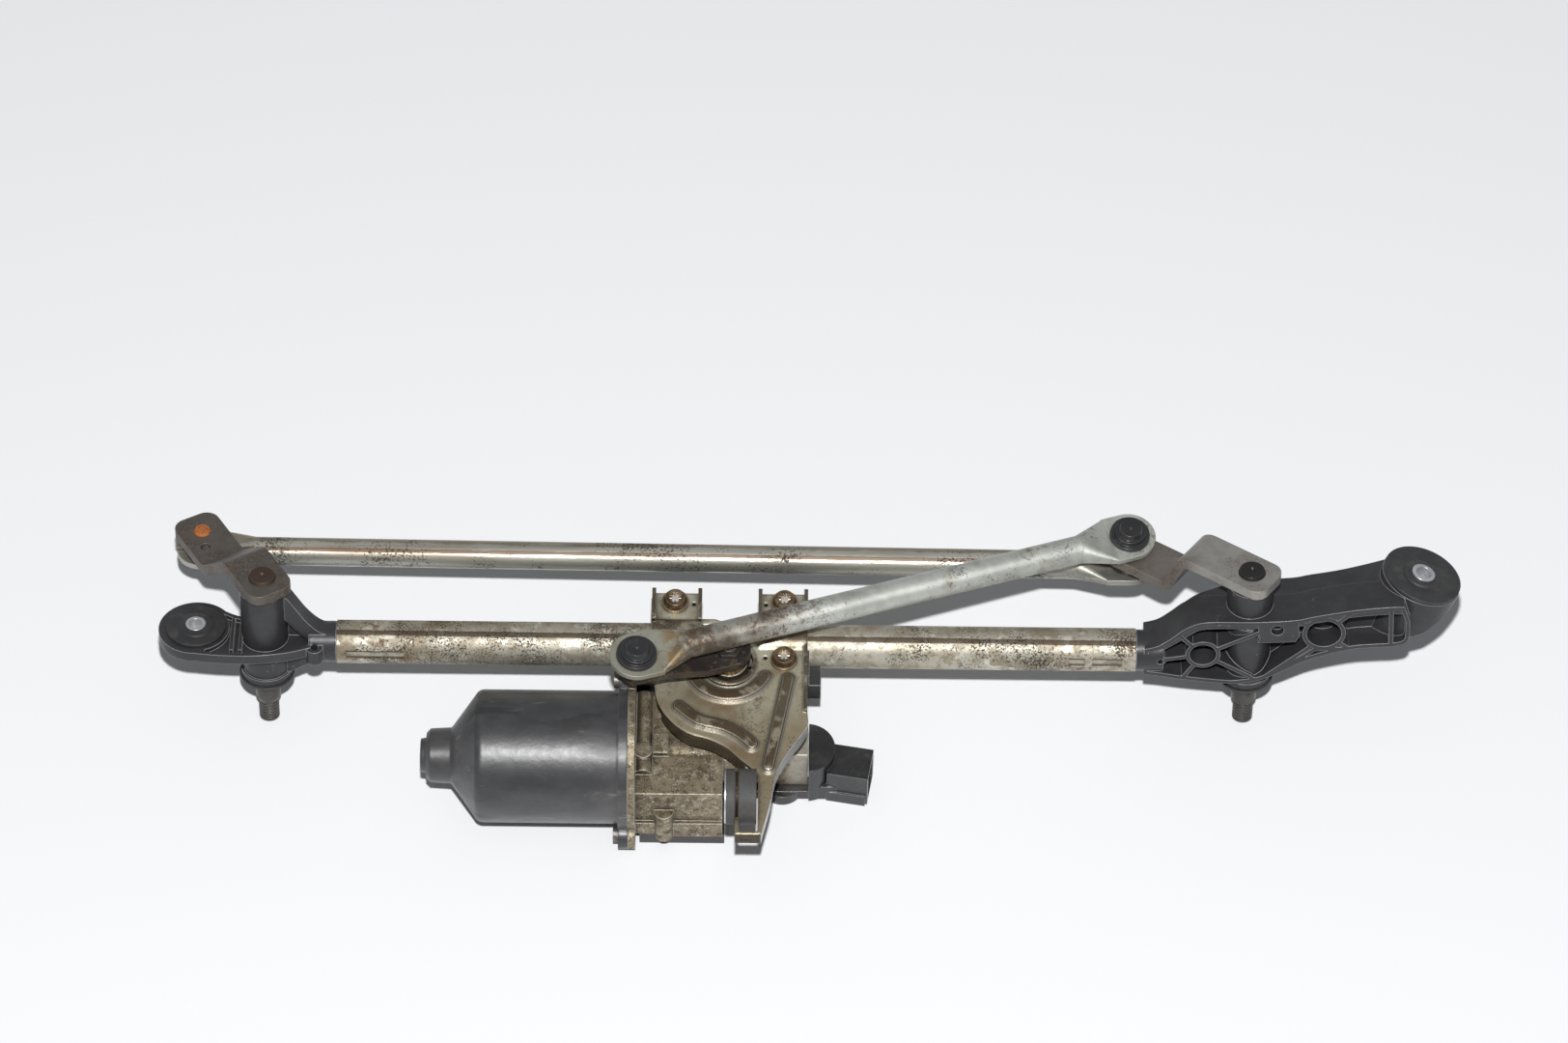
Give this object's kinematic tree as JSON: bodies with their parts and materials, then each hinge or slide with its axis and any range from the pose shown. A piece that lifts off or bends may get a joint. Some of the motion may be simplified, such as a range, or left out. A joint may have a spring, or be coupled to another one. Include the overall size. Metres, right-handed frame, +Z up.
{
  "type": "wiper linkage",
  "caption": "Tube frame with wiper spindles, levers and links, driven through a crank by a geared electric motor on a stamped bracket.",
  "frame": {"origin": "middle of the box, on the surface that the linkage lies on", "axes": "+X along the frame tube from the motor can to the connector side, +Y away from the motor towards the tie link, +Z up along the output shaft"},
  "size_m": [0.6596, 0.1952, 0.1019],
  "materials": {
    "zinc_tube": "zinc plated, stained and speckled with rust",
    "black_casting": "satin black casting",
    "bearing_bronze": "sintered bronze",
    "rubber": "matt",
    "plain_steel": "dull",
    "lever_steel": "bare steel, dull and browned",
    "rusty_steel": "rusty",
    "bracket_steel": "yellowed zinc with brown grime",
    "bronze_zinc": "bronze coloured plating",
    "cast_alloy": "rough casting with brown grime",
    "black_plastic": "satin",
    "black_paint": "satin black paint",
    "brass": "dull",
    "ferrite": "matt",
    "carbon": "matt",
    "core_iron": "laminated",
    "copper": "enamelled",
    "gear_plastic": "natural"
  },
  "bodies": {
    "frame": {"frame_tube": "zinc_tube", "left_housing": "black_casting", "right_housing": "black_casting", "spindle_bushes": "bearing_bronze", "spindle_seals": "rubber", "lever_washers": "plain_steel", "left_mount_bush": "rubber", "left_mount_sleeve": "plain_steel", "right_mount_bush": "rubber", "right_mount_sleeve": "plain_steel", "motor_bracket": "bracket_steel", "tube_cradles": "black_casting", "bracket_bolts": "bronze_zinc", "bracket_grommet": "rubber", "grommet_sleeve": "plain_steel", "gear_housing": "cast_alloy", "gear_cover": "black_plastic", "connector_pins": "brass", "shaft_bushes": "bearing_bronze", "motor_can": "black_paint", "can_screws": "plain_steel", "housing_screws": "plain_steel", "magnets": "ferrite", "brush_plate": "black_plastic", "brushes": "carbon", "armature_bushes": "bearing_bronze", "thrust_washer": "brass"},
    "crank": {"output_shaft": "plain_steel", "worm_wheel": "gear_plastic", "crank_arm": "black_paint", "crank_nut": "plain_steel", "crank_ball_stud": "plain_steel"},
    "drive": {"drive_link": "zinc_tube", "drive_sockets": "black_plastic", "drive_ball_stud": "plain_steel"},
    "right_arm": {"right_spindle": "plain_steel", "right_lever_arm": "lever_steel", "tie_ball_stud": "plain_steel"},
    "tie": {"tie_link": "zinc_tube", "tie_sockets": "black_plastic", "left_ball_stud": "plain_steel"},
    "left_arm": {"left_spindle": "plain_steel", "left_lever_arm": "lever_steel", "left_lever_rivet": "rusty_steel"},
    "armature": {"armature_shaft": "plain_steel", "armature_core": "core_iron", "windings": "copper", "commutator": "copper"}
  },
  "joints": [
    {"name": "crank_turn", "type": "hinge", "parent": "frame", "child": "crank", "pos_m": [-0.0392, 0.00434, 0.052], "axis": [0, 0, -1], "range_deg": [0, 180]},
    {"name": "drive_link_turn", "type": "hinge", "parent": "crank", "child": "drive", "pos_m": [-0.08535, -0.01057, 0.091], "axis": [-0.0094, -0.0044, 0.9999], "range_deg": [0, 178.2]},
    {"name": "right_spindle_turn", "type": "hinge", "parent": "frame", "child": "right_arm", "pos_m": [0.2238, 0.02708, 0.05069], "axis": [0, -0.2419, -0.9703], "range_deg": [0, 82.74]},
    {"name": "tie_link_turn", "type": "hinge", "parent": "right_arm", "child": "tie", "pos_m": [0.16381, 0.0717, 0.0541], "axis": [0, 0.2419, 0.9703], "range_deg": [0, 88.65]},
    {"name": "left_spindle_turn", "type": "hinge", "parent": "frame", "child": "left_arm", "pos_m": [-0.2747, 0.02184, 0.052], "axis": [0, -0.2419, -0.9703], "range_deg": [0, 92.21]},
    {"name": "armature_turn", "type": "hinge", "parent": "frame", "child": "armature", "pos_m": [-0.0895, -0.03446, 0.034], "axis": [1, 0, 0], "range_deg": [0, 10800.5]}
  ],
  "couplings": [
    {"joint": "drive_link_turn", "follows": "crank_turn", "ratio": 0.98996},
    {"joint": "right_spindle_turn", "follows": "crank_turn", "ratio": 0.45965},
    {"joint": "tie_link_turn", "follows": "crank_turn", "ratio": 0.49246},
    {"joint": "left_spindle_turn", "follows": "crank_turn", "ratio": 0.51226},
    {"joint": "armature_turn", "follows": "crank_turn", "ratio": 60}
  ]
}
